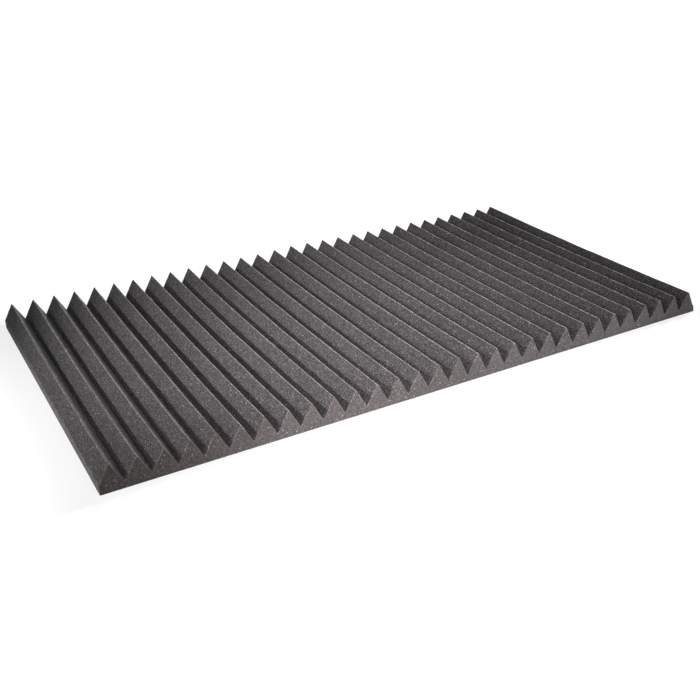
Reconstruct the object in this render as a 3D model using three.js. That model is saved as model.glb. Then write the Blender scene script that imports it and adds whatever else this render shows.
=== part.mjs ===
// Acoustic foam panel: one slab of open-cell foam whose upper side is cut into straight wedges.
//
// Frame, in millimetres: the panel lies on its flat back with the wedges pointing up, along +Z.
// X runs along the panel's length, across the wedges, and Y along its width, in the direction of the wedges.
// The origin is the middle of the flat back.

import * as THREE from "three";

// Driving dimensions of the panel
const panelLength = 1200; // across the wedges
const panelWidth = 615; // along the wedges
const baseThickness = 12; // solid foam under the valleys
const wedgeDepth = 35; // from the bottom of a valley to the top of a crest
const wedgePitch = 40; // from one valley to the next
const crestRadius = 0.9; // the blade leaves each crest slightly blunt
const valleyRadius = 0.6;

// Counts of straight steps in the two round stretches of the section
const crestSteps = 4; // from one flank over the crest to the other
const valleySideSteps = 2; // from the middle of a valley up to its flank

const foam = {
  color: 0x5f5b5b,
  roughness: 0.96,
  metalness: 0,
};

/**
 * The section of one wedge, between the middle of a valley and the next.
 *
 * Each flank is a straight line that touches the round crest above it and the round valley below it.
 */
class WedgeProfile {
  constructor(pitch, depth, floor, crest, valley) {
    this.half = pitch / 2;
    this.pitch = pitch;
    this.floor = floor;
    this.crest = crest;
    this.valley = valley;
    this.top = floor + depth;
    // The lean of a flank from the vertical, from half * cos(lean) - rise * sin(lean) = round
    const round = crest + valley;
    const rise = depth - round;
    const reach = Math.hypot(this.half, rise);
    this.lean = Math.acos(round / reach) - Math.atan2(rise, this.half);
  }

  /** The places of the section's points, as distances from the valley on the left of the wedge. */
  stations() {
    const places = [0];
    for (let step = 1; step <= valleySideSteps; step += 1) {
      const turn = (Math.PI / 2 - this.lean) * (step / valleySideSteps);
      places.push(this.valley * Math.sin(turn));
    }
    for (let step = 0; step <= crestSteps; step += 1) {
      const turn = (Math.PI - 2 * this.lean) * (step / crestSteps) + this.lean;
      places.push(this.half - this.crest * Math.cos(turn));
    }
    for (let step = valleySideSteps; step >= 1; step -= 1) {
      const turn = (Math.PI / 2 - this.lean) * (step / valleySideSteps);
      places.push(this.pitch - this.valley * Math.sin(turn));
    }
    return places;
  }

  /** The height of the surface above the panel's back, x away from any valley. */
  height(x) {
    const fromValley = Math.abs(x - this.pitch * Math.round(x / this.pitch));
    const fromCrest = this.half - fromValley;
    const crestReach = this.crest * Math.cos(this.lean);
    if (fromCrest <= crestReach) {
      return this.top - this.crest + Math.sqrt(this.crest ** 2 - fromCrest ** 2);
    }
    if (fromValley <= this.valley * Math.cos(this.lean)) {
      return this.floor + this.valley - Math.sqrt(this.valley ** 2 - fromValley ** 2);
    }
    const crestTangent = this.top - this.crest + this.crest * Math.sin(this.lean);
    return crestTangent - (fromCrest - crestReach) / Math.tan(this.lean);
  }
}

/** The points of the wedged upper side between the two cut ends, from left to right. */
function upperSide(profile, length) {
  const end = length / 2;
  const wedges = Math.ceil(end / profile.pitch);
  const points = [new THREE.Vector2(-end, profile.height(-end))];
  for (let wedge = -wedges; wedge < wedges; wedge += 1) {
    for (const place of profile.stations()) {
      const x = wedge * profile.pitch + place;
      if (Math.abs(x) < end) {
        points.push(new THREE.Vector2(x, profile.height(x)));
      }
    }
  }
  points.push(new THREE.Vector2(end, profile.height(end)));
  return points;
}

/** The foam body: the section across the wedges, extruded along them. */
function foamPanel() {
  const profile = new WedgeProfile(wedgePitch, wedgeDepth, baseThickness, crestRadius, valleyRadius);
  const section = new THREE.Shape([
    new THREE.Vector2(panelLength / 2, 0),
    ...upperSide(profile, panelLength).reverse(),
    new THREE.Vector2(-panelLength / 2, 0),
  ]);
  const geometry = new THREE.ExtrudeGeometry(section, { depth: panelWidth, bevelEnabled: false });
  geometry.rotateX(Math.PI / 2);
  geometry.translate(0, panelWidth / 2, 0);
  const mesh = new THREE.Mesh(geometry, new THREE.MeshStandardMaterial(foam));
  mesh.name = "foam_panel";
  return mesh;
}

const panel = new THREE.Group();
panel.add(foamPanel());

export default panel;
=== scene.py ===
"""The looks of an acoustic foam panel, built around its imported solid.

The panel is one slab of charcoal open-cell foam. A blade has cut its upper side into straight wedges, and a
saw has cut its four sides. All lengths are in metres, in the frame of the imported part: X runs across the
wedges, Y along them, and Z points up out of the flat back.
"""

import logging
import math
from bisect import bisect_right
from collections.abc import Callable
from dataclasses import dataclass, field
from enum import Enum
from functools import cached_property, partial

import bmesh
import bpy
import numpy as np
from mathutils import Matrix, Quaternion, Vector


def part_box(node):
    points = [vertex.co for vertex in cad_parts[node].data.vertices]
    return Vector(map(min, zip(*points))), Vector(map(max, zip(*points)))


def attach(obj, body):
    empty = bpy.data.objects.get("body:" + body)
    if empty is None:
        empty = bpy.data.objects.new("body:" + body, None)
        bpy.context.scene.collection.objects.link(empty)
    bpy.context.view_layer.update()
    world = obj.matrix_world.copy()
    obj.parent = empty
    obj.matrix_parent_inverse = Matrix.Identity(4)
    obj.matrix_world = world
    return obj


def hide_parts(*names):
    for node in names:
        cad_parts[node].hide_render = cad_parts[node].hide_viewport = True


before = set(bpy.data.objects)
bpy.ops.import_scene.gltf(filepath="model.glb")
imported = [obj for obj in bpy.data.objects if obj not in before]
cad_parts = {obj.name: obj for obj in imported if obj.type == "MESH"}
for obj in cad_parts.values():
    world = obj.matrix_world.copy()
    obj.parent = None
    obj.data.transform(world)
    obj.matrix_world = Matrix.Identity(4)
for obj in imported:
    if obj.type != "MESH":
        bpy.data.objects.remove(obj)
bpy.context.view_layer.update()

LOG = logging.getLogger("foam_panel")
NODE = "foam_panel"
TOUCH = 1e-5  # places nearer than this are the same place
# A highlight is painted into the foam's colour where this point attribute is high: on crests and cut edges.
PAINTED_HIGHLIGHT = "painted_highlight"  # the point attribute that is 1 on crests and cut edges
IMAGE_SIZE = 700  # the side of the square image, in pixels

Source = bpy.types.NodeSocket | float | tuple[float, ...]  # what can feed a node's input


class Element(Enum):
    """The kinds of mesh element, in the order of Blender's select mode."""

    VERTEX = 0
    EDGE = 1
    FACE = 2


class Side(Enum):
    """The sides of the foam, as the blade and the saw leave them."""

    LEFT_FLANK = "left flank"
    RIGHT_FLANK = "right flank"
    FRONT = "front"
    REAR = "rear"
    LEFT_END = "left end"
    RIGHT_END = "right end"
    BACK = "back"

    @property
    def sawn(self) -> bool:
        """Whether the saw made this side, and not the blade."""
        return self not in (Side.LEFT_FLANK, Side.RIGHT_FLANK)


class Weight(Enum):
    """The vertex groups that say how far each point of the foam strays."""

    RISE = "rise"
    SAG = "sag"
    GRAIN = "grain"
    EDGE = "edge"


def look_only_at(piece: bpy.types.Object) -> None:
    """Selects one object, makes it active and deselects all others.

    Args:
        piece: The object that the next operators act on.
    """
    bpy.ops.object.select_all(action="DESELECT")
    piece.select_set(True)
    bpy.context.view_layer.objects.active = piece


def select(piece: bpy.types.Object, element: Element, wanted: Callable[..., bool]) -> None:
    """Selects elements of a mesh in edit mode by their place or direction.

    Args:
        piece: The object in edit mode.
        element: The kind of element to select.
        wanted: Says of one element whether it is selected.
    """
    bpy.context.tool_settings.mesh_select_mode = [kind is element for kind in Element]
    bpy.ops.mesh.select_all(action="DESELECT")
    mesh = bmesh.from_edit_mesh(piece.data)
    parts = (mesh.verts, mesh.edges, mesh.faces)[element.value]
    for part in [part for part in parts if wanted(part)]:
        part.select_set(True)
    bmesh.update_edit_mesh(piece.data)


@dataclass(frozen=True)
class Patch:
    """A rectangle of the texture map, in shares of the map's width and height."""

    left: float
    bottom: float
    width: float
    height: float

    def point(self, across: float, up: float) -> tuple[float, float]:
        """The map point that lies these shares of the way across and up the rectangle."""
        return self.left + across * self.width, self.bottom + up * self.height


@dataclass(frozen=True)
class WedgeSection:
    """The section of one wedge: two straight flanks, a blunt crest and a narrow round valley.

    Attributes:
        pitch: The distance from one valley to the next.
        base: The height of the valleys above the foam's back.
        depth: The height of the crests above the valleys.
        crest_radius: The radius of the blunt crest.
        valley_radius: The radius of the round valley.
        crest_steps: How many straight steps the round has on each side of a crest.
        valley_steps: How many straight steps the round has on each side of a valley.
        flank_steps: How many straight steps a flank has.
        rim_width: The width of a flank's last step, over which the painted highlight of the crest fades.
    """

    pitch: float = 0.04
    base: float = 0.012
    depth: float = 0.035
    crest_radius: float = 0.0009
    valley_radius: float = 0.0006
    crest_steps: int = 2
    valley_steps: int = 1
    flank_steps: int = 11
    rim_width: float = 0.0007

    @property
    def lean(self) -> float:
        """The angle between a flank and the vertical.

        Returns:
            The angle at which the flank touches the rounds of the crest and of the valley.
        """
        rounds = self.crest_radius + self.valley_radius
        half, rise = self.pitch / 2, self.depth - rounds
        return math.acos(rounds / math.hypot(half, rise)) - math.atan2(rise, half)

    @property
    def crest_reach(self) -> float:
        """Half the width of the blunt crest."""
        return self.crest_radius * math.cos(self.lean)

    def rising_flank(self) -> list[tuple[float, float]]:
        """The points from the middle of a valley up to the top of the next crest.

        Returns:
            Distances from the middle of the valley, each with the height above the foam's back.
        """
        quarter = math.pi / 2 - self.lean
        valley, crest = [], []
        for step in range(self.valley_steps + 1):
            turn = quarter * step / self.valley_steps
            lift = self.valley_radius * (1 - math.cos(turn))
            valley.append((self.valley_radius * math.sin(turn), self.base + lift))
        for step in range(self.crest_steps + 1):
            turn = quarter * (1 - step / self.crest_steps)
            drop = self.crest_radius * (1 - math.cos(turn))
            crest.append((self.pitch / 2 - self.crest_radius * math.sin(turn), self.base + self.depth - drop))
        low, high = Vector(valley[-1]), Vector(crest[0])
        shoulder = high.lerp(low, self.rim_width / (high - low).length)
        cuts = self.flank_steps - 1
        flank = [tuple(low.lerp(shoulder, step / cuts)) for step in range(1, cuts + 1)]
        return valley + flank + crest

    def outline(self) -> list[tuple[float, float]]:
        """The points of one whole wedge, from one valley up to just before the next valley.

        Returns:
            Distances from the first valley, each with the height above the foam's back.
        """
        rising = self.rising_flank()
        falling = [(self.pitch - place, height) for place, height in reversed(rising[1:-1])]
        return rising + falling


@dataclass(frozen=True)
class Stray:
    """How far one wedge lies from its place in the even section.

    Attributes:
        wedge: The wedge's number, from the left.
        shift: How far it lies to the right.
        lift: How much higher its crest is.
    """

    wedge: int
    shift: float
    lift: float


@dataclass(frozen=True)
class EndCut:
    """The flat cut across one end of the slab.

    Attributes:
        side: The end's side, -1 for the left and 1 for the right.
        foot: The place of its lower edge.
        slope: How far it moves to the right for each metre of height.
    """

    side: int
    foot: float
    slope: float = 0.0

    @property
    def outward(self) -> Vector:
        """The direction that the cut faces."""
        return Vector((self.side, 0, -self.side * self.slope)).normalized()

    def inset(self, x: float | np.ndarray, z: float | np.ndarray) -> float | np.ndarray:
        """How far a point, or each of an array of points, lies inside the cut.

        Args:
            x: The point's place along the slab.
            z: Its height.

        Returns:
            The distance, or an array of distances.
        """
        return self.side * (self.foot + self.slope * z - x) / math.hypot(1, self.slope)


@dataclass(frozen=True)
class Push:
    """A push on the weighted points of a mesh, the same for all of them.

    Attributes:
        name: The name of the modifier.
        axis: The direction of the Displace modifier.
        reach: The strength of the modifier, which is how far a point of full weight moves.
        weight: The vertex group that limits it.
    """

    name: str
    axis: str
    reach: float
    weight: Weight

    def press_into(self, piece: bpy.types.Object) -> None:
        """Moves the points of a mesh.

        Args:
            piece: The object whose mesh is changed.
        """
        push = piece.modifiers.new(self.name, "DISPLACE")
        push.direction = self.axis
        push.mid_level = 0.0
        push.strength = self.reach
        push.vertex_group = self.weight.value
        self.vary(push)
        look_only_at(piece)
        bpy.ops.object.modifier_apply(modifier=push.name)

    def vary(self, push: bpy.types.DisplaceModifier) -> None:
        """Leaves the push even, which a kind of push with a pattern changes."""


@dataclass(frozen=True)
class Unevenness(Push):
    """A push that changes from place to place, about a third of its reach to either side.

    Attributes:
        wavelength: The size of the noise's lumps.
        octaves: How many finer layers the noise has.
    """

    wavelength: float
    octaves: int = 1

    def vary(self, push: bpy.types.DisplaceModifier) -> None:
        """Gives the push its pattern.

        Args:
            push: The modifier that moves the points.
        """
        lumps = bpy.data.textures.new(self.name, "CLOUDS")
        lumps.noise_basis = "IMPROVED_PERLIN"
        lumps.noise_scale = self.wavelength
        lumps.noise_depth = self.octaves
        push.texture = lumps
        push.texture_coords = "LOCAL"
        push.mid_level = 0.5


@dataclass
class NodeSheet:
    """Adds nodes to the tree of a material or a group, and wires them.

    Attributes:
        tree: The tree.
        spacing: How far apart its nodes are laid out.
    """

    tree: bpy.types.NodeTree
    spacing: float = 200

    def node(self, kind: str, **settings: object) -> bpy.types.Node:
        """Adds one node.

        Args:
            kind: The node's type.
            settings: Properties of the node to set.

        Returns:
            The new node.
        """
        made = self.tree.nodes.new(kind)
        for name, value in settings.items():
            setattr(made, name, value)
        made.location = (len(self.tree.nodes) * self.spacing, 0)
        return made

    def feed(self, socket: bpy.types.NodeSocket, source: Source) -> None:
        """Links a socket to another one, or sets its value.

        Args:
            socket: The input that is fed.
            source: The output that it is linked to, or its number or colour.
        """
        if isinstance(source, bpy.types.NodeSocket):
            self.tree.links.new(source, socket)
        else:
            socket.default_value = source

    def fill(self, made: bpy.types.Node, **sources: Source) -> bpy.types.Node:
        """Feeds a node's inputs by name.

        Args:
            made: The node.
            sources: A socket, a number or a colour for each input, with _ for a space in its name.

        Returns:
            The same node.
        """
        for name, source in sources.items():
            self.feed(made.inputs[name.replace("_", " ")], source)
        return made

    def math(self, operation: str, *sources: Source) -> bpy.types.NodeSocket:
        """Adds a Math node.

        Args:
            operation: The node's operation.
            sources: A number or a socket for each input.

        Returns:
            The node's result.
        """
        made = self.node("ShaderNodeMath", operation=operation)
        for socket, source in zip(made.inputs, sources):
            self.feed(socket, source)
        return made.outputs[0]

    def centred(self, source: Source, span: float, mean: float = 0.5) -> bpy.types.NodeSocket:
        """Scales a value that changes over the surface, so that its mean is 0.

        Args:
            source: The value.
            span: How far apart the value's 0 and 1 come to lie.
            mean: The value's mean before that.

        Returns:
            The centred value.
        """
        return self.math("MULTIPLY_ADD", source, span, -span * mean)

    def ramp(self, source: Source, low: Source, high: Source) -> bpy.types.NodeSocket:
        """Turns a value into a smooth mask.

        Args:
            source: The value.
            low: Where the mask is 0.
            high: Where the mask is 1.

        Returns:
            The mask.
        """
        made = self.node("ShaderNodeMapRange", interpolation_type="SMOOTHSTEP")
        self.fill(made, Value=source, From_Min=low, From_Max=high)
        return made.outputs["Result"]

    def mix(self, share: Source, first: Source, second: Source) -> bpy.types.NodeSocket:
        """Mixes two colours.

        Args:
            share: How much of the second colour shows.
            first: The first colour.
            second: The second colour.

        Returns:
            The mixed colour.
        """
        made = self.node("ShaderNodeMix", data_type="RGBA")
        sockets = {socket.identifier: socket for socket in made.inputs}
        self.feed(sockets["Factor_Float"], share)
        self.feed(sockets["A_Color"], first)
        self.feed(sockets["B_Color"], second)
        return next(socket for socket in made.outputs if socket.identifier == "Result_Color")


def new_group(name: str, numbers: tuple[str, ...], outputs: dict[str, str]) -> NodeSheet:
    """Makes an empty shader node group that works on a place.

    Args:
        name: The group's name.
        numbers: The names of the numbers that go in beside the place.
        outputs: The socket type of each value that comes out.

    Returns:
        The sheet of the group's tree, which holds only its Group Input and Group Output.
    """
    tree = bpy.data.node_groups.new(name, "ShaderNodeTree")
    tree.interface.new_socket(name="Vector", in_out="INPUT", socket_type="NodeSocketVector")
    for label in numbers:
        tree.interface.new_socket(name=label, in_out="INPUT", socket_type="NodeSocketFloat")
    for label, kind in outputs.items():
        tree.interface.new_socket(name=label, in_out="OUTPUT", socket_type=kind)
    tree.nodes.new("NodeGroupInput")
    tree.nodes.new("NodeGroupOutput")
    return NodeSheet(tree)


@dataclass
class FoamEffects:
    """The node groups that the foam's finishes share.

    Attributes:
        pore_reach: How far the dark pore reaches from the middle of a cell, in cells.
        strut_reach: How far from that middle the pale strut is whole.
        lump_frequency: How many soft lumps there are to a cell.
        lump_detail: How many finer layers the lumps have.
        lump_height: The height of the lumps, beside that of the struts.
        tone_power: The power that leaves most cells dark and a few of them pale.
        tone_span: The range of the cells' own tones.
        strut_span: How much paler the struts are than the pores.
        lump_span: The range of the lumps' tones.
        darkest: The least shade of all.
        glint_core: The share of a glint's radius that is fully bright.
        weakest_glint: The strength of the weakest glint, beside that of the strongest.
        pinkish: The colour of the warm glints.
        white: The colour of most glints.
        bluish: The colour of the cold glints.
        warm_fade: The range of the cells' lots over which pinkish turns white.
        cold_fade: The range of the cells' lots over which white turns bluish.
        cells: The group of the open cells.
        glints: The group of the glints that are painted on the cell walls.
    """

    pore_reach: float = 0.15
    strut_reach: float = 0.75
    lump_frequency: float = 0.35
    lump_detail: float = 3.0
    lump_height: float = 1.6
    tone_power: float = 3.0
    tone_span: float = 1.7
    strut_span: float = 0.5
    lump_span: float = 0.5
    darkest: float = 0.1
    glint_core: float = 0.3
    weakest_glint: float = 0.3
    pinkish: tuple[float, ...] = (1.0, 0.72, 0.66, 1.0)
    white: tuple[float, ...] = (1.0, 0.95, 0.93, 1.0)
    bluish: tuple[float, ...] = (0.68, 0.74, 1.0, 1.0)
    warm_fade: tuple[float, float] = (0.3, 0.5)
    cold_fade: tuple[float, float] = (0.7, 0.85)
    cells: bpy.types.NodeTree = field(init=False)
    glints: bpy.types.NodeTree = field(init=False)

    def __post_init__(self) -> None:
        """Builds both groups."""
        self.cells = self.build_cells()
        self.glints = self.build_glints()

    def build_cells(self) -> bpy.types.NodeTree:
        """The open cells of the foam: each has its own tone, with a dark pore between paler struts.

        Returns:
            A group with the inputs Cell, the width of a cell, and Contrast, and the outputs Shade and Height.
        """
        outputs = {"Shade": "NodeSocketFloat", "Height": "NodeSocketFloat"}
        sheet = new_group("open_cells", ("Cell", "Contrast"), outputs)
        given, result = sheet.tree.nodes["Group Input"].outputs, sheet.tree.nodes["Group Output"]
        scale = sheet.math("DIVIDE", 1.0, given["Cell"])
        pores = sheet.fill(sheet.node("ShaderNodeTexVoronoi"), Vector=given["Vector"], Scale=scale)
        lot = sheet.fill(sheet.node("ShaderNodeSeparateColor"), Color=pores.outputs["Color"])
        lump_scale = sheet.math("MULTIPLY", scale, self.lump_frequency)
        lumps = sheet.node("ShaderNodeTexNoise")
        sheet.fill(lumps, Vector=given["Vector"], Scale=lump_scale, Detail=self.lump_detail)
        struts = sheet.ramp(pores.outputs["Distance"], self.pore_reach, self.strut_reach)
        lowered = sheet.math("ADD", struts, -self.lump_height / 2)
        height = sheet.math("MULTIPLY_ADD", lumps.outputs["Fac"], self.lump_height, lowered)
        cubed = sheet.math("POWER", lot.outputs["Red"], self.tone_power)
        cell_tone = sheet.centred(cubed, self.tone_span, 1 / (self.tone_power + 1))
        both = sheet.math("ADD", cell_tone, sheet.centred(struts, self.strut_span))
        all_three = sheet.math("ADD", both, sheet.centred(lumps.outputs["Fac"], self.lump_span))
        shade = sheet.math("MULTIPLY_ADD", all_three, given["Contrast"], 1.0)
        sheet.fill(result, Shade=sheet.math("MAXIMUM", shade, self.darkest), Height=height)
        return sheet.tree

    def build_glints(self) -> bpy.types.NodeTree:
        """Painted glints: sparse cell walls painted bright, white, pinkish or bluish, as if they caught the
        light.

        Returns:
            A group with the inputs Spacing, Share and Size and the outputs Mask and Tint.
        """
        outputs = {"Mask": "NodeSocketFloat", "Tint": "NodeSocketColor"}
        sheet = new_group("cell_wall_glints", ("Spacing", "Share", "Size"), outputs)
        given, result = sheet.tree.nodes["Group Input"].outputs, sheet.tree.nodes["Group Output"]
        scale = sheet.math("DIVIDE", 1.0, given["Spacing"])
        walls = sheet.fill(sheet.node("ShaderNodeTexVoronoi"), Vector=given["Vector"], Scale=scale)
        lot = sheet.fill(sheet.node("ShaderNodeSeparateColor"), Color=walls.outputs["Color"])
        chosen = sheet.math("LESS_THAN", lot.outputs["Red"], given["Share"])
        core = sheet.math("MULTIPLY", given["Size"], self.glint_core)
        far = sheet.ramp(walls.outputs["Distance"], core, given["Size"])
        shape = sheet.math("MULTIPLY", chosen, sheet.math("SUBTRACT", 1.0, far))
        spread = 1 - self.weakest_glint
        strength = sheet.math("MULTIPLY_ADD", lot.outputs["Green"], spread, self.weakest_glint)
        mask = sheet.math("MULTIPLY", shape, strength)
        warm = sheet.mix(sheet.ramp(lot.outputs["Blue"], *self.warm_fade), self.pinkish, self.white)
        tint = sheet.mix(sheet.ramp(lot.outputs["Blue"], *self.cold_fade), warm, self.bluish)
        sheet.fill(result, Mask=mask, Tint=tint)
        return sheet.tree


@dataclass(frozen=True)
class FoamFinish:
    """One finish of the charcoal foam.

    Attributes:
        name: The name of the material.
        colour: The mean colour.
        contrast: How strongly the tones of the cells differ.
        glint_share: How many of the cell walls glint.
        glint_size: The radius of a glint, as a share of their spacing.
        glint_spacing: The spacing of the cell walls that may glint.
        cell: The width of a cell.
        painted_highlight_colour: The pale colour painted on thin crests and edges, a painted highlight for
            the light that comes through the cells there.
        relief: The height of the struts.
        bump: How strongly the relief turns the light.
        patch_scale: How many soft patches of shade there are to a metre.
        patch_span: The range of the patches' shades.
        roughness: How rough the cell walls are.
        gloss: How much the cell walls shine.
    """

    name: str
    colour: tuple[float, float, float]
    contrast: float
    glint_share: float
    glint_size: float
    glint_spacing: float = 0.0024
    cell: float = 0.0013
    painted_highlight_colour: tuple[float, float, float] = (0.300, 0.2775, 0.282)
    relief: float = 0.0005
    bump: float = 0.6
    patch_scale: float = 9.0
    patch_span: float = 0.16
    roughness: float = 0.96
    gloss: float = 0.15

    def material(self, effects: FoamEffects) -> bpy.types.Material:
        """Makes the material.

        Args:
            effects: The node groups that it places.

        Returns:
            The new material.
        """
        material = bpy.data.materials.new(self.name)
        material.use_nodes = True
        sheet = NodeSheet(material.node_tree)
        shader = material.node_tree.nodes["Principled BSDF"]
        place = sheet.node("ShaderNodeTexCoord").outputs["Object"]
        cells = sheet.node("ShaderNodeGroup", node_tree=effects.cells)
        sheet.fill(cells, Vector=place, Cell=self.cell, Contrast=self.contrast)
        glints = sheet.node("ShaderNodeGroup", node_tree=effects.glints)
        sheet.fill(glints, Vector=place, Spacing=self.glint_spacing)
        sheet.fill(glints, Share=self.glint_share, Size=self.glint_size)
        clouds = sheet.fill(sheet.node("ShaderNodeTexNoise"), Vector=place, Scale=self.patch_scale)
        patches = sheet.math("MULTIPLY_ADD", clouds.outputs["Fac"], self.patch_span, 1 - self.patch_span / 2)
        # This attribute mixes in a pale colour: a highlight painted on the crests and cut edges.
        painted_highlight = sheet.node("ShaderNodeAttribute", attribute_name=PAINTED_HIGHLIGHT).outputs["Fac"]
        toned = sheet.node("ShaderNodeVectorMath", operation="SCALE")
        sheet.feed(toned.inputs[0], sheet.mix(painted_highlight, (*self.colour, 1.0), (*self.painted_highlight_colour, 1.0)))
        sheet.feed(toned.inputs["Scale"], sheet.math("MULTIPLY", cells.outputs["Shade"], patches))
        # The glints are painted highlights, mixed into the base colour.
        colour = sheet.mix(glints.outputs["Mask"], toned.outputs[0], glints.outputs["Tint"])
        bump = sheet.node("ShaderNodeBump")
        sheet.fill(bump, Height=cells.outputs["Height"], Distance=self.relief, Strength=self.bump)
        sheet.fill(shader, Base_Color=colour, Normal=bump.outputs["Normal"], Roughness=self.roughness)
        sheet.fill(shader, Specular_IOR_Level=self.gloss, Diffuse_Roughness=1.0)
        return material


BLADE_CUT = FoamFinish(
    name="blade_cut_foam",
    colour=(0.1032, 0.0947, 0.0969),
    contrast=0.97,
    glint_share=0.085,
    glint_size=0.41,
)
SAW_CUT = FoamFinish(
    name="saw_cut_foam",
    colour=(0.1185, 0.1044, 0.1039),
    contrast=0.62,
    glint_share=0.06,
    glint_size=0.37,
)


@dataclass
class SlabPoints:
    """Where the points of the straight slab lie, as arrays with a value for each point.

    Attributes:
        x: Their places along the slab.
        y: Their places along the wedges.
        z: Their heights.
        half: Half the width of the wedge that each belongs to.
        depth: The height of that wedge above its valleys.
        from_crest: The distance sideways from its crest.
        inset_x: How far inside the nearer cut end they lie.
        inset_y: How far inside the nearer long edge they lie.
    """

    x: np.ndarray
    y: np.ndarray
    z: np.ndarray
    half: np.ndarray
    depth: np.ndarray
    from_crest: np.ndarray
    inset_x: np.ndarray
    inset_y: np.ndarray


@dataclass
class FoamPanel:
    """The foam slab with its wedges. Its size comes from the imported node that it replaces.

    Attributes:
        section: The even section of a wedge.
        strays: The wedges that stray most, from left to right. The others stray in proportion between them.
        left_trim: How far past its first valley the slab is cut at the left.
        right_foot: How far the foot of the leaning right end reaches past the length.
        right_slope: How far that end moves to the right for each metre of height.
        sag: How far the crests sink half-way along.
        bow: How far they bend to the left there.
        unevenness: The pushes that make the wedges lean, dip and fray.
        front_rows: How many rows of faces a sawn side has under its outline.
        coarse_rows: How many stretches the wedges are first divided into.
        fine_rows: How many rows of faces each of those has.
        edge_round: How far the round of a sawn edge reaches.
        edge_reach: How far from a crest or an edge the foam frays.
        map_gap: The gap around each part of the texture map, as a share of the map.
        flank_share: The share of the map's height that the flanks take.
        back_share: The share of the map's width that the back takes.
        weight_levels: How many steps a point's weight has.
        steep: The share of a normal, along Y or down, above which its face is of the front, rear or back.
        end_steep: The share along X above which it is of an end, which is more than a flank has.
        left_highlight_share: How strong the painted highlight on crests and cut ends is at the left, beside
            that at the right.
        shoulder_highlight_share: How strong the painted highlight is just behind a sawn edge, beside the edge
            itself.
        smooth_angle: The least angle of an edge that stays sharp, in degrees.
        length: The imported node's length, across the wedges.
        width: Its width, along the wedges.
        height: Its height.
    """

    section: WedgeSection = field(default_factory=WedgeSection)
    strays: tuple[Stray, ...] = (
        Stray(0, 0.0010, -0.0005),
        Stray(13, -0.0010, -0.0010),
        Stray(15, 0.0010, 0.0025),
        Stray(18, 0.0006, 0.0006),
        Stray(29, -0.0010, -0.0015),
    )
    left_trim: float = 0.0033
    right_foot: float = 0.0040
    right_slope: float = -0.30
    sag: float = 0.0023
    bow: float = 0.0010
    unevenness: tuple[Unevenness, ...] = (
        Unevenness("lean", "X", 0.0016, Weight.RISE, wavelength=0.09),
        Unevenness("dip", "Z", 0.0014, Weight.RISE, wavelength=0.07),
        Unevenness("fray_across", "X", 0.0010, Weight.EDGE, wavelength=0.006, octaves=2),
        Unevenness("fray_along", "Y", 0.0010, Weight.EDGE, wavelength=0.006, octaves=2),
        Unevenness("cells", "NORMAL", 0.0005, Weight.GRAIN, wavelength=0.004, octaves=2),
    )
    front_rows: int = 7
    coarse_rows: int = 25
    fine_rows: int = 8
    edge_round: float = 0.0006
    edge_reach: float = 0.006
    map_gap: float = 0.002
    flank_share: float = 0.87
    back_share: float = 0.24
    weight_levels: int = 128
    steep: float = 0.7
    end_steep: float = 0.9
    left_highlight_share: float = 0.4
    shoulder_highlight_share: float = 0.18
    smooth_angle: float = 50.0
    length: float = field(init=False)
    width: float = field(init=False)
    height: float = field(init=False)

    def __post_init__(self) -> None:
        """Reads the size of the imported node."""
        low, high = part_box(NODE)
        self.length, self.width, self.height = high - low

    @property
    def wedges(self) -> int:
        """How many wedges the panel has."""
        return round(self.length / self.section.pitch)

    @property
    def drawn_wedges(self) -> int:
        """How many wedges are drawn, with one more for the leaning right end to cut."""
        return self.wedges + 1

    @property
    def start(self) -> float:
        """The place of the first valley in the even section."""
        return -self.wedges / 2 * self.section.pitch

    @property
    def top(self) -> float:
        """The height of the highest crest."""
        return self.height + max(stray.lift for stray in self.strays)

    @cached_property
    def ends(self) -> tuple[EndCut, EndCut]:
        """The cuts across the left and the right end."""
        left = EndCut(-1, self.left_trim - self.length / 2)
        return left, EndCut(1, self.length / 2 + self.right_foot, self.right_slope)

    def stray(self, wedge: float) -> tuple[float, float]:
        """How far the section strays at a wedge, or between two wedges.

        Args:
            wedge: The number of the wedge.

        Returns:
            The shift to the right and the lift of the crest.
        """
        wedges = [stray.wedge for stray in self.strays]
        shift = np.interp(wedge, wedges, [stray.shift for stray in self.strays])
        lift = np.interp(wedge, wedges, [stray.lift for stray in self.strays])
        return float(shift), float(lift)

    @cached_property
    def valleys(self) -> list[float]:
        """The places of all the valleys, from left to right."""
        numbers, pitch = range(self.drawn_wedges + 1), self.section.pitch
        return [self.start + number * pitch + self.stray(number - 0.5)[0] for number in numbers]

    def wedge_at(self, x: float) -> int:
        """The number of the wedge that lies at a place along the slab."""
        return bisect_right(self.valleys, x) - 1

    def build(self, effects: FoamEffects) -> bpy.types.Object:
        """Models and dresses the slab.

        Args:
            effects: The node groups of the foam's finishes.

        Returns:
            The finished piece.
        """
        piece = self.draw_section()
        self.cut_ends(piece)
        self.extrude_width(piece)
        self.round_cut_edges(piece)
        self.lay_out_map(piece)
        self.divide_length(piece)
        bpy.ops.object.mode_set(mode="OBJECT")
        points = self.measure(piece)
        self.paint_highlights(piece, points)
        self.weigh_points(piece, points)
        self.roughen(piece)
        self.dress(piece, effects)
        return piece

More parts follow.
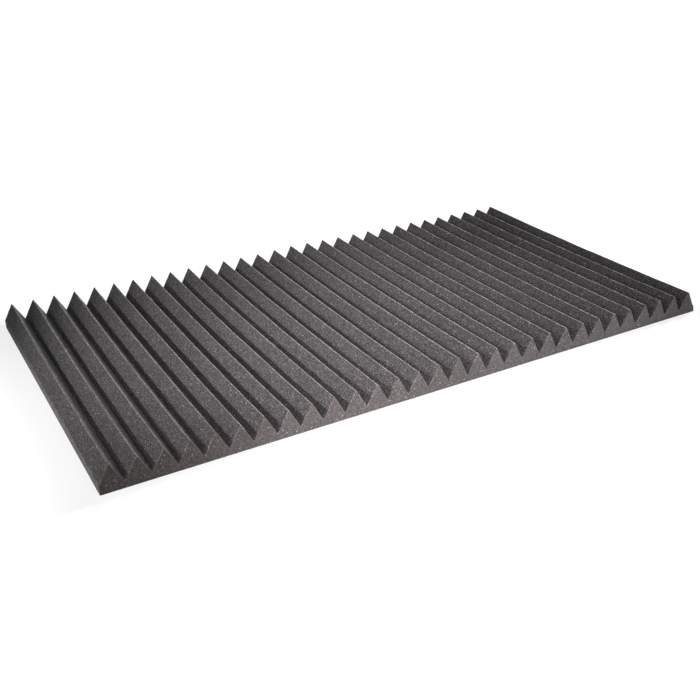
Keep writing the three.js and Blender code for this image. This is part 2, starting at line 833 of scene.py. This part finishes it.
    def draw_section(self) -> bpy.types.Object:
        """Draws the saw-tooth section as an upright ribbon of faces at the front of the slab.

        Returns:
            The new object, in edit mode.
        """
        outline = self.section.outline()
        faces, upright = self.drawn_wedges * len(outline), (math.pi / 2, 0, 0)
        bpy.ops.object.select_all(action="DESELECT")
        bpy.ops.mesh.primitive_grid_add(x_subdivisions=faces, y_subdivisions=1, size=1, rotation=upright)
        piece = bpy.context.object
        piece.name = piece.data.name = "wedge_foam"
        run = self.drawn_wedges * self.section.pitch
        piece.scale = (run, self.section.base, 1)
        piece.location = (self.start + run / 2, -self.width / 2, self.section.base / 2)
        bpy.ops.object.transform_apply(location=True, rotation=True, scale=True)
        step = self.section.pitch / len(outline)
        columns = [round((point.co.x - self.start) / step) for point in piece.data.vertices]
        places = [divmod(column, len(outline)) for column in columns]
        bpy.ops.object.mode_set(mode="EDIT")
        for column, (place, height) in enumerate(outline):
            self.shape_column(piece, places, column, Vector((place - column * step, 0, height)))
        for wedge in range(self.drawn_wedges + 1):
            self.shift_wedge(piece, places, wedge)
        return piece

    def shape_column(
        self, piece: bpy.types.Object, places: list[tuple[int, int]], column: int, goal: Vector
    ) -> None:
        """Moves one column of the ribbon, in every wedge, to its place in the section.

        Args:
            piece: The ribbon, in edit mode.
            places: The wedge and the column of each of its points.
            column: The column to move.
            goal: How far the column moves to the right, and the height of its upper point.
        """
        select(piece, Element.VERTEX, lambda point: places[point.index][1] == column)
        bpy.ops.transform.translate(value=(goal.x, 0, 0))
        middle = self.section.base / 2
        select(piece, Element.VERTEX, lambda point: places[point.index][1] == column and point.co.z > middle)
        bpy.ops.transform.translate(value=(0, 0, goal.z - self.section.base))

    def shift_wedge(self, piece: bpy.types.Object, places: list[tuple[int, int]], wedge: int) -> None:
        """Lets one wedge of the ribbon stray from the even section.

        Args:
            piece: The ribbon, in edit mode.
            places: The wedge and the column of each of its points.
            wedge: The wedge to move, which the valley on its left belongs to.
        """
        pitch, middle = self.section.pitch, self.section.base / 2
        even = self.start + wedge * pitch
        shift, (_, lift) = self.stray(wedge - 0.5)[0], self.stray(wedge)
        spread = 1 + (self.stray(wedge + 0.5)[0] - shift) / pitch
        select(piece, Element.VERTEX, lambda point: places[point.index][0] == wedge)
        bpy.ops.transform.resize(value=(spread, 1, 1), center_override=(even, 0, 0))
        bpy.ops.transform.translate(value=(shift, 0, 0))
        select(piece, Element.VERTEX, lambda point: places[point.index][0] == wedge and point.co.z > middle)
        stretch = 1 + lift / self.section.depth
        bpy.ops.transform.resize(value=(1, 1, stretch), center_override=(0, 0, self.section.base))

    def cut_ends(self, piece: bpy.types.Object) -> None:
        """Cuts the ribbon off at the slab's two ends, and divides it into rows.

        Args:
            piece: The ribbon, in edit mode.
        """
        select(piece, Element.EDGE, lambda edge: abs(edge.verts[0].co.x - edge.verts[1].co.x) < TOUCH)
        bpy.ops.mesh.subdivide(number_cuts=self.front_rows - 1)
        for end in self.ends:
            bpy.ops.mesh.select_all(action="SELECT")
            bpy.ops.mesh.bisect(plane_co=(end.foot, 0, 0), plane_no=end.outward, clear_outer=True)

    def extrude_width(self, piece: bpy.types.Object) -> None:
        """Extrudes the ribbon along the wedges into a closed slab.

        Args:
            piece: The ribbon, in edit mode. It is not used: the operators act on the mesh in edit mode.
        """
        bpy.ops.mesh.select_all(action="SELECT")
        bpy.ops.mesh.extrude_region_move(TRANSFORM_OT_translate={"value": (0, self.width, 0)})
        bpy.ops.mesh.select_all(action="SELECT")
        bpy.ops.mesh.normals_make_consistent(inside=False)

    def side_of(self, face: bmesh.types.BMFace) -> Side:
        """The side of the slab that a face belongs to, from its direction.

        Args:
            face: A face of the straight slab.

        Returns:
            The side.
        """
        if abs(face.normal.y) > self.steep:
            return Side.FRONT if face.normal.y < 0 else Side.REAR
        if face.normal.z < -self.steep:
            return Side.BACK
        if abs(face.normal.x) > self.end_steep:
            return Side.LEFT_END if face.normal.x < 0 else Side.RIGHT_END
        return Side.LEFT_FLANK if face.normal.x < 0 else Side.RIGHT_FLANK

    def is_cut_edge(self, edge: bmesh.types.BMEdge) -> bool:
        """Whether the saw made one of an edge's faces, and the other is another side and not the back."""
        sides = {self.side_of(face) for face in edge.link_faces}
        return len(sides) == 2 and Side.BACK not in sides and any(side.sawn for side in sides)

    def round_cut_edges(self, piece: bpy.types.Object) -> None:
        """Rounds the edges where the saw left the wedges, which foam never keeps sharp.

        Args:
            piece: The slab, in edit mode.
        """
        select(piece, Element.EDGE, self.is_cut_edge)
        bpy.ops.mesh.bevel(offset=self.edge_round, segments=2, affect="EDGES", clamp_overlap=False)

    def patch_of(self, side: Side, wedge: int) -> Patch:
        """The part of the texture map that a side takes.

        Args:
            side: The side of the slab.
            wedge: The wedge that a flank belongs to.

        Returns:
            The rectangle. The flanks share the lower part of the map, and the sawn sides the upper part.
        """
        gap, shelf = self.map_gap, self.flank_share
        if not side.sawn:
            row = shelf / self.drawn_wedges
            left = gap if side is Side.LEFT_FLANK else 0.5 + gap
            return Patch(left, wedge * row + gap, 0.5 - 2 * gap, row - 2 * gap)
        top = 1 - shelf
        if side is Side.BACK:
            return Patch(gap, shelf + gap, self.back_share - 2 * gap, top - 2 * gap)
        strips = [other for other in Side if other.sawn and other is not Side.BACK]
        row = top / len(strips)
        low = shelf + strips.index(side) * row
        return Patch(self.back_share + gap, low + gap, 1 - self.back_share - 2 * gap, row - 2 * gap)

    def map_point(self, side: Side, wedge: int, place: Vector) -> tuple[float, float]:
        """Where a point of a side lies in the texture map.

        Args:
            side: The side of the slab.
            wedge: The wedge that the face belongs to.
            place: The point.

        Returns:
            The map's two coordinates.
        """
        low, high = (end.foot for end in self.ends)
        along_x = (place.x - low) / (high - low)
        along_y = place.y / self.width + 0.5
        patch = self.patch_of(side, wedge)
        if side is Side.BACK:
            return patch.point(along_x, along_y)
        if side in (Side.FRONT, Side.REAR):
            return patch.point(along_x, place.z / self.top)
        if side.sawn:
            return patch.point(along_y, place.z / self.top)
        left, right = self.valleys[wedge : wedge + 2]
        from_valley = place.x - left if side is Side.LEFT_FLANK else right - place.x
        return patch.point(along_y, min(from_valley / (right - left) * 2, 1.0))

    def lay_out_map(self, piece: bpy.types.Object) -> None:
        """Gives every face its place in the texture map, and its finish.

        Args:
            piece: The slab, in edit mode.
        """
        mesh = bmesh.from_edit_mesh(piece.data)
        for old in list(mesh.loops.layers.uv):
            mesh.loops.layers.uv.remove(old)
        layer = mesh.loops.layers.uv.new("OFBake")
        mesh.normal_update()
        for face in mesh.faces:
            side = self.side_of(face)
            wedge = self.wedge_at(face.calc_center_median().x)
            face.material_index = int(side.sawn)  # the blade's finish comes first, then the saw's
            for loop in face.loops:
                loop[layer].uv = self.map_point(side, wedge, loop.vert.co)
        bmesh.update_edit_mesh(piece.data)

    def runs_along(self, edge: bmesh.types.BMEdge, least: float) -> bool:
        """Whether an edge runs along the wedges, is long enough and isn't inside the flat back.

        Args:
            edge: The edge.
            least: The length that it has to be longer than.

        Returns:
            Whether all three hold.
        """
        first, second = (point.co for point in edge.verts)
        from_ends = min(end.inset(first.x, first.z) for end in self.ends)
        inside_back = first.z + second.z < TOUCH and from_ends > 2 * self.edge_round
        return abs(first.y - second.y) > least and not inside_back

    def divide_length(self, piece: bpy.types.Object) -> None:
        """Divides the wedges along their length, so that they can stray from the straight.

        Args:
            piece: The slab, in edit mode.
        """
        run = self.width - 2 * self.edge_round
        for rows in (self.coarse_rows, self.fine_rows):
            select(piece, Element.EDGE, partial(self.runs_along, least=run / 2))
            bpy.ops.mesh.subdivide(number_cuts=rows - 1)
            run /= rows

    def measure(self, piece: bpy.types.Object) -> SlabPoints:
        """Finds where the points of the straight slab lie.

        Args:
            piece: The slab with its straight wedges.

        Returns:
            The places of its points.
        """
        places = np.empty(len(piece.data.vertices) * 3, np.float32)
        piece.data.vertices.foreach_get("co", places)
        x, y, z = places.reshape(-1, 3).T
        valleys = np.array(self.valleys)
        wedge = np.searchsorted(valleys, x, side="right") - 1
        half = (valleys[wedge + 1] - valleys[wedge]) / 2
        lifts = np.array([self.stray(number)[1] for number in range(self.drawn_wedges)])
        depth = self.section.depth + lifts[wedge]
        from_crest = np.abs(x - valleys[wedge] - half)
        inset_x = np.minimum(*(end.inset(x, z) for end in self.ends))
        inset_y = self.width / 2 - np.abs(y)
        return SlabPoints(x, y, z, half, depth, from_crest, inset_x, inset_y)

    def paint_highlights(self, piece: bpy.types.Object, points: SlabPoints) -> None:
        """Paints a pale highlight on crests and cut edges, through an attribute, for the light that comes
        through them there.

        Args:
            piece: The slab with its straight wedges.
            points: The places of its points.
        """
        near_top = points.z > self.section.base + points.depth - self.section.crest_radius - TOUCH
        crest_reach = self.section.crest_reach * points.half * 2 / self.section.pitch
        on_crest = near_top & (points.from_crest < crest_reach + TOUCH)
        # The highlight is painted on the middle of an edge's round, both at the two ends and along the two
        # long sides
        on_end, on_side = (
            (inset > TOUCH) & (inset < self.edge_round - TOUCH) for inset in (points.inset_x, points.inset_y)
        )
        shoulder = np.abs(points.inset_y - self.edge_round) < TOUCH
        # The painted highlight is weaker at the left end and full at the right end.
        highlight_share = np.interp(points.x, [end.foot for end in self.ends], (self.left_highlight_share, 1.0))
        long_edge = np.maximum(on_side, self.shoulder_highlight_share * shoulder)
        cut_edge = np.maximum(highlight_share * on_end, long_edge) * (points.z > TOUCH)
        painted_highlight = np.maximum(highlight_share * on_crest, cut_edge)
        piece.data.attributes.new(PAINTED_HIGHLIGHT, "FLOAT", "POINT").data.foreach_set("value", painted_highlight)

    def weigh_points(self, piece: bpy.types.Object, points: SlabPoints) -> None:
        """Says in vertex groups how far each point may stray.

        Args:
            piece: The slab with its straight wedges.
            points: The places of its points.
        """
        z = points.z
        surface = self.section.base + points.depth * (1 - points.from_crest / points.half)
        # On the front and the rear, the nearest edge is the outline of that side
        to_outline = np.minimum(np.abs(surface - z), np.minimum(z, points.inset_x))
        to_edge = np.where(points.inset_y < self.edge_round + TOUCH, to_outline, points.inset_y)
        edge = np.clip(1 - np.minimum(points.from_crest, to_edge) / self.edge_reach, 0, 1)
        inner_back = (z < TOUCH) & (points.inset_y > self.edge_round) & (points.inset_x > self.edge_round)
        edge[inner_back] = 0
        rise = np.clip((z - self.section.base) / self.section.depth, 0, 1)
        sag = rise * (1 - (points.y / (self.width / 2)) ** 2)
        grain = np.clip(z / self.edge_reach, 0, 1)
        weights = {Weight.RISE: rise, Weight.SAG: sag, Weight.GRAIN: grain, Weight.EDGE: edge}
        for weight, values in weights.items():
            group = piece.vertex_groups.new(name=weight.value)
            levels = np.rint(values * self.weight_levels).astype(int)
            for level in range(1, self.weight_levels + 1):
                chosen = np.flatnonzero(levels == level).tolist()
                group.add(chosen, level / self.weight_levels, "REPLACE")

    def roughen(self, piece: bpy.types.Object) -> None:
        """Lets the straight wedges lean, dip and fray as cut foam does.

        Args:
            piece: The slab with its weights.
        """
        sinking = Push("sag", "Z", -self.sag, Weight.SAG)
        bending = Push("bow", "X", -self.bow, Weight.SAG)
        for push in (sinking, bending, *self.unevenness):
            push.press_into(piece)
        piece.vertex_groups.clear()

    def dress(self, piece: bpy.types.Object, effects: FoamEffects) -> None:
        """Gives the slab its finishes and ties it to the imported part.

        Args:
            piece: The modelled slab.
            effects: The node groups of the foam's finishes.
        """
        for finish in (BLADE_CUT, SAW_CUT):
            piece.data.materials.append(finish.material(effects))
        look_only_at(piece)
        bpy.ops.object.shade_smooth_by_angle(angle=math.radians(self.smooth_angle))
        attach(piece, "root")
        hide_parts(NODE)


@dataclass(frozen=True)
class StudioLamp:
    """One soft lamp of the studio.

    Attributes:
        name: The lamp's name.
        place: Where it stands.
        aim: The point that it faces.
        power: Its power in watts.
        radius: The radius of its glowing ball.
        cone: The angle of its soft cone, in degrees.
        colour: The colour of its light.
    """

    name: str
    place: tuple[float, float, float]
    aim: tuple[float, float, float]
    power: float
    radius: float
    cone: float
    colour: tuple[float, float, float] = (1.0, 1.0, 1.0)

    def build(self) -> None:
        """Sets the lamp up."""
        light = bpy.data.lights.new(self.name, "SPOT")
        light.energy = self.power
        light.color = self.colour
        light.shadow_soft_size = self.radius
        light.spot_size = math.radians(self.cone)
        light.spot_blend = 1.0
        lamp = bpy.data.objects.new(self.name, light)
        bpy.context.scene.collection.objects.link(lamp)
        lamp.location = self.place
        direction = Vector(self.aim) - Vector(self.place)
        lamp.rotation_euler = direction.to_track_quat("-Z", "Y").to_euler()


@dataclass
class Studio:
    """The pale floor, the soft lamps and the camera.

    Attributes:
        lamps: The lamps, each with its name, place, aim, power, radius, cone and colour.
        sky_fill: The strength of the even fill from all around.
        sky_colour: The colour of that fill.
        floor_size: The side of the floor.
        floor_grey: The floor's own grey, which the panel sees.
        shadow_share: The share of the lamps' light that shows on the floor in the picture.
        floor_glow: The floor's own white beside the panel, in the picture.
        shadow_near: Where the floor begins to turn plain white, as a distance from the panel.
        shadow_far: Where it is plain white.
        camera_place: Where the camera stands.
        camera_aim: The point that it faces.
        camera_roll: How far it is turned about its line of sight, in degrees.
        focal_pixels: Its focal length, in pixels of the photograph.
        axis_pixel: The column of the photograph that its line of sight goes through.
        sensor: The width of its sensor, in millimetres.
        view_end: How far it sees.
    """

    lamps: tuple[StudioLamp, ...] = (
        StudioLamp("key", (-1.7, -0.2, 1.15), (-0.29, -0.1, 0.0), 59.0, 0.03, 30.0, (0.97, 1.0, 0.98)),
        StudioLamp("side", (-1.5, 0.3, 1.0), (0.0, 0.0, 0.0), 24.0, 0.03, 36.0, (0.93, 0.96, 1.0)),
        StudioLamp("skim", (-0.9, -0.3, 0.5), (0.3, -0.1, 0.0), 10.0, 0.03, 48.0, (1.0, 0.94, 0.93)),
        StudioLamp("skim_left", (-0.9, -0.55, 0.52), (-0.14, -0.1, 0.0), 4.4, 0.03, 54.0, (1.0, 0.925, 0.92)),
        StudioLamp("front_near", (-0.3, -0.9, 0.5), (-0.2, -0.1, 0.0), 11.6, 0.08, 75.0, (1.0, 0.94, 0.965)),
        StudioLamp("front_low", (-0.22, -1.25, 0.05), (-0.22, -0.3075, 0.02), 33.0, 0.08, 28.0),
        StudioLamp("front", (-0.3, -1.6, 1.0), (-0.1, -0.2, 0.0), 19.0, 0.08, 26.0),
        StudioLamp("front_far", (0.5, -1.6, 1.0), (0.2, -0.2, 0.0), 98.0, 0.08, 26.0, (0.955, 0.99, 1.0)),
        StudioLamp("front_low_right", (0.58, -1.25, 0.05), (0.58, -0.3075, 0.02), 13.5, 0.08, 28.0),
        StudioLamp("right", (1.3, 0.0, 0.8), (0.0, 0.0, 0.0), 132.0, 0.06, 60.0, (0.935, 1.0, 0.97)),
        StudioLamp("rear_low", (0.0, 1.6, 0.05), (0.0, 0.3, 0.02), 80.0, 0.08, 60.0),
    )
    sky_fill: float = 0.172
    sky_colour: tuple[float, float, float] = (0.94, 1.0, 0.95)
    floor_size: float = 40.0
    floor_grey: float = 0.8
    shadow_share: float = 0.22
    floor_glow: float = 0.80
    shadow_near: float = 0.0
    shadow_far: float = 0.12
    camera_place: tuple[float, float, float] = (-0.8051, -1.3316, 0.7439)
    camera_aim: tuple[float, float, float] = (-0.1220, -0.1441, 0.0300)
    camera_roll: float = 0.206
    focal_pixels: float = 880.5
    axis_pixel: float = 337.0
    sensor: float = 36.0
    view_end: float = 100.0

    def build(self) -> None:
        """Builds the whole studio."""
        self.set_camera()
        self.lay_floor()
        self.light_world()
        for lamp in self.lamps:
            lamp.build()
        bpy.context.scene.view_settings.view_transform = "Standard"

    def set_camera(self) -> None:
        """Sets the camera up at the photograph's angle."""
        data = bpy.data.cameras.new("camera")
        data.sensor_width = self.sensor
        data.lens = self.focal_pixels / IMAGE_SIZE * self.sensor
        data.shift_x = (IMAGE_SIZE / 2 - self.axis_pixel) / IMAGE_SIZE
        data.clip_end = self.view_end
        camera = bpy.data.objects.new("camera", data)
        bpy.context.scene.collection.objects.link(camera)
        direction = Vector(self.camera_aim) - Vector(self.camera_place)
        roll = Quaternion(direction, math.radians(self.camera_roll))
        camera.rotation_mode = "QUATERNION"
        camera.rotation_quaternion = roll @ direction.to_track_quat("-Z", "Y")
        camera.location = self.camera_place
        bpy.context.scene.camera = camera

    @staticmethod
    def seen_share(sheet: NodeSheet) -> bpy.types.NodeSocket:
        """A value that is 1 where the backdrop shows, in the picture or in a reflection, and else 0.

        Args:
            sheet: The sheet of the material or world.

        Returns:
            The value.
        """
        path = sheet.node("ShaderNodeLightPath").outputs
        seen = sheet.math("MAXIMUM", path["Is Camera Ray"], path["Is Glossy Ray"])
        return sheet.math("MAXIMUM", seen, path["Is Transmission Ray"])

    def lay_floor(self) -> None:
        """Lays the pale floor."""
        bpy.ops.object.select_all(action="DESELECT")
        bpy.ops.mesh.primitive_plane_add(size=self.floor_size)
        floor = bpy.context.object
        floor.name = "floor"
        floor.data.materials.append(self.floor_material())

    def floor_material(self) -> bpy.types.Material:
        """A pale finish that looks white to the camera and keeps the panel's soft shadow.

        Returns:
            The new material.
        """
        material = bpy.data.materials.new("pale_floor")
        material.use_nodes = True
        sheet = NodeSheet(material.node_tree)
        shader = material.node_tree.nodes["Principled BSDF"]
        seen = self.seen_share(sheet)
        grey, shaded = self.floor_grey, self.shadow_share
        colour = sheet.mix(seen, (grey, grey, grey, 1.0), (shaded, shaded, shaded, 1.0))
        sheet.fill(shader, Base_Color=colour, Roughness=1.0, Specular_IOR_Level=0.0)
        away = sheet.ramp(self.from_panel(sheet), self.shadow_near, self.shadow_far)
        glow = sheet.math("MULTIPLY_ADD", away, 1 - self.floor_glow, self.floor_glow)
        sheet.fill(shader, Emission_Color=(1.0, 1.0, 1.0, 1.0))
        sheet.fill(shader, Emission_Strength=sheet.math("MULTIPLY", seen, glow))
        return material

    @staticmethod
    def from_panel(sheet: NodeSheet) -> bpy.types.NodeSocket:
        """How far a point of the floor lies from the panel.

        Args:
            sheet: The sheet of the floor's material.

        Returns:
            The distance.
        """
        place = sheet.node("ShaderNodeSeparateXYZ")
        sheet.fill(place, Vector=sheet.node("ShaderNodeTexCoord").outputs["Object"])
        squares = []
        for axis, reach in zip("XY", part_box(NODE)[1]):
            past = sheet.math("SUBTRACT", sheet.math("ABSOLUTE", place.outputs[axis]), reach)
            outside = sheet.math("MAXIMUM", past, 0.0)
            squares.append(sheet.math("MULTIPLY", outside, outside))
        return sheet.math("SQRT", sheet.math("ADD", *squares))

    def light_world(self) -> None:
        """Makes the world white to the camera and a dim, even fill to everything else."""
        world = bpy.data.worlds.new("studio")
        world.use_nodes = True
        bpy.context.scene.world = world
        sheet = NodeSheet(world.node_tree)
        background = world.node_tree.nodes["Background"]
        seen = self.seen_share(sheet)
        strength = sheet.math("MULTIPLY_ADD", seen, 1 - self.sky_fill, self.sky_fill)
        colour = sheet.mix(seen, (*self.sky_colour, 1.0), (1.0, 1.0, 1.0, 1.0))
        sheet.fill(background, Color=colour, Strength=strength)


def main() -> None:
    """Builds the studio and the panel, in order."""
    logging.basicConfig(level=logging.INFO, format="%(message)s")
    Studio().build()
    LOG.info("studio: camera, floor and lamps are set")
    panel = FoamPanel()
    piece = panel.build(FoamEffects())
    LOG.info("%s: %d wedges, %d faces", piece.name, panel.wedges, len(piece.data.polygons))


if __name__ == "__main__":
    main()
